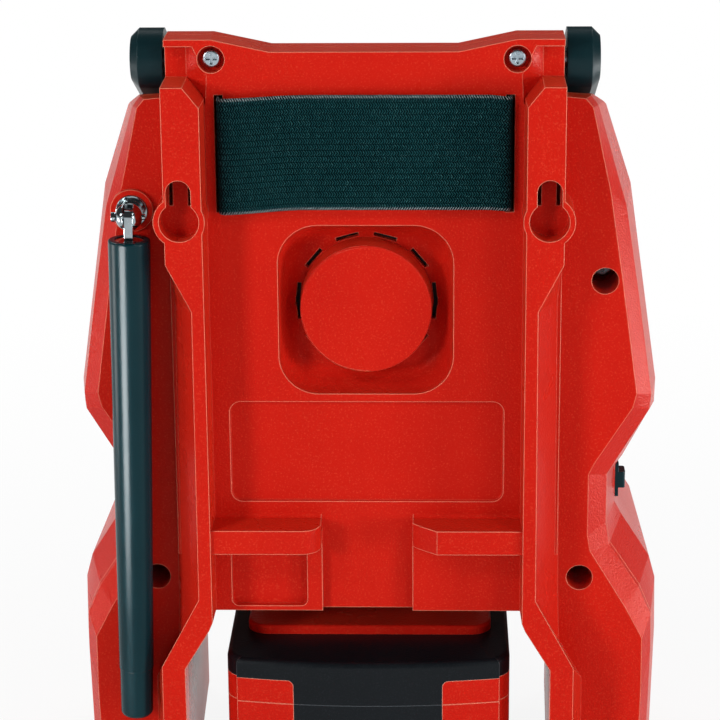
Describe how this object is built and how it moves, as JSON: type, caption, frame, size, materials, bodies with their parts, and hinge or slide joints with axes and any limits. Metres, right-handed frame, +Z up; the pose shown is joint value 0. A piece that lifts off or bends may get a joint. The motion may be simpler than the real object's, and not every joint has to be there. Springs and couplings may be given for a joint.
{
  "type": "jobsite radio",
  "caption": "Battery jobsite radio with a folding carry handle, swivel antenna, slide-in pack, sloped control panel, round speaker and a back bay that straps in a phone.",
  "frame": {"origin": "on the ground, under the middle of the bounding box", "axes": "+Z up, -Y towards the front with the speaker, +Y towards the back with the rails and phone bay, +X towards the antenna"},
  "size_m": [0.1654, 0.11, 0.2282],
  "materials": {
    "red_plastic": "fine spark-eroded satin",
    "black_plastic": "satin",
    "rubber": "soft matte",
    "zinc_steel": "zinc plated",
    "chrome": "polished",
    "elastic": "woven elastic",
    "felt": "felt",
    "panel_black": "satin",
    "display_glass": "clear",
    "display_grey": "backlit panel",
    "key_rubber": "soft matte",
    "circuit_board": "solder mask",
    "grille_black": "powder coated",
    "ferrite": "sintered",
    "paper": "pressed paper",
    "aluminium": "extruded",
    "contact_brass": "stamped",
    "battery_grey": "fine textured satin",
    "cell_sleeve": "shrink sleeve"
  },
  "bodies": {
    "radio": {"rear_housing": "red_plastic", "front_housing": "red_plastic", "rubber_feet": "rubber", "case_screws_top": "zinc_steel", "case_screws_deep": "zinc_steel", "vent_felt": "felt", "phone_strap": "elastic", "strap_clamps": "zinc_steel", "control_panel": "panel_black", "display_lens": "display_glass", "lcd_module": "display_grey", "tact_switches": "black_plastic", "control_board": "circuit_board", "volume_encoder": "zinc_steel", "speaker_grille": "grille_black", "grille_ring": "black_plastic", "speaker_basket": "zinc_steel", "speaker_magnet": "ferrite", "speaker_surround": "rubber", "speaker_cone": "paper", "dust_cap": "paper", "speaker_screws": "zinc_steel", "main_board": "circuit_board", "board_capacitors": "black_plastic", "amp_heatsink": "aluminium", "usb_socket": "zinc_steel", "aux_socket": "black_plastic", "socket_board": "circuit_board", "battery_dock": "black_plastic", "dock_blades": "contact_brass"},
    "antenna_swivel_body": {"antenna_base": "chrome", "antenna_base_screw": "zinc_steel", "antenna_pin": "chrome"},
    "antenna_mast": {"antenna_ferrule": "chrome", "antenna_sleeve": "rubber", "antenna_tip": "rubber"},
    "handle": {"carry_handle": "black_plastic", "handle_grip": "rubber", "handle_pivots": "zinc_steel"},
    "battery_pack": {"battery_upper_shell": "battery_grey", "battery_lower_shell": "battery_grey", "battery_insets_upper": "red_plastic", "battery_insets_lower": "red_plastic", "battery_deck": "red_plastic", "battery_terminals": "contact_brass", "battery_cells": "cell_sleeve", "battery_board": "circuit_board"},
    "latch": {"battery_latch": "red_plastic"},
    "knob": {"volume_knob": "black_plastic", "knob_shaft": "zinc_steel"},
    "flap": {"port_flap": "rubber"},
    "source_key": {"source_button": "key_rubber"},
    "menu_key": {"menu_button": "key_rubber"},
    "preset_key": {"preset_button": "key_rubber"},
    "tune_down_key": {"tune_down_button": "key_rubber"},
    "tune_up_key": {"tune_up_button": "key_rubber"},
    "power_key": {"power_button": "key_rubber"}
  },
  "joints": [
    {"name": "antenna_swivel", "type": "hinge", "parent": "radio", "child": "antenna_swivel_body", "pos_m": [0.0629, 0.049, 0.1808], "axis": [0, -1, 0], "range_deg": [0, 180]},
    {"name": "antenna_tilt", "type": "hinge", "parent": "antenna_swivel_body", "child": "antenna_mast", "pos_m": [0.0629, 0.049, 0.1808], "axis": [1, 0, 0], "range_deg": [0, 90]},
    {"name": "handle_hinge", "type": "hinge", "parent": "radio", "child": "handle", "pos_m": [0, 0.03, 0.22], "axis": [-1, 0, 0], "range_deg": [0, 115]},
    {"name": "battery_slide", "type": "slide", "parent": "radio", "child": "battery_pack", "axis": [0, -1, 0], "range_m": [0, 0.07]},
    {"name": "latch_press", "type": "slide", "parent": "battery_pack", "child": "latch", "axis": [0, 0, -1], "range_m": [0, 0.002], "stiffness_N_per_m": 800, "springref_m": -0.002},
    {"name": "volume_turn", "type": "hinge", "parent": "radio", "child": "knob", "pos_m": [0.031, -0.00883, 0.20122], "axis": [0, -0.4927, 0.8702], "continuous": true},
    {"name": "flap_hinge", "type": "hinge", "parent": "radio", "child": "flap", "pos_m": [-0.0715, -0.0108, 0.095], "axis": [0, 0, 1], "range_deg": [0, 110]},
    {"name": "source_press", "type": "slide", "parent": "radio", "child": "source_key", "axis": [0, 0.4927, -0.8702], "range_m": [0, 0.0008], "stiffness_N_per_m": 1200, "springref_m": -0.0006},
    {"name": "menu_press", "type": "slide", "parent": "radio", "child": "menu_key", "axis": [0, 0.4927, -0.8702], "range_m": [0, 0.0008], "stiffness_N_per_m": 1200, "springref_m": -0.0006},
    {"name": "preset_press", "type": "slide", "parent": "radio", "child": "preset_key", "axis": [0, 0.4927, -0.8702], "range_m": [0, 0.0008], "stiffness_N_per_m": 1200, "springref_m": -0.0006},
    {"name": "tune_down_press", "type": "slide", "parent": "radio", "child": "tune_down_key", "axis": [0, 0.4927, -0.8702], "range_m": [0, 0.0008], "stiffness_N_per_m": 1200, "springref_m": -0.0006},
    {"name": "tune_up_press", "type": "slide", "parent": "radio", "child": "tune_up_key", "axis": [0, 0.4927, -0.8702], "range_m": [0, 0.0008], "stiffness_N_per_m": 1200, "springref_m": -0.0006},
    {"name": "power_press", "type": "slide", "parent": "radio", "child": "power_key", "axis": [0, 0.4927, -0.8702], "range_m": [0, 0.0008], "stiffness_N_per_m": 1200, "springref_m": -0.0006}
  ]
}
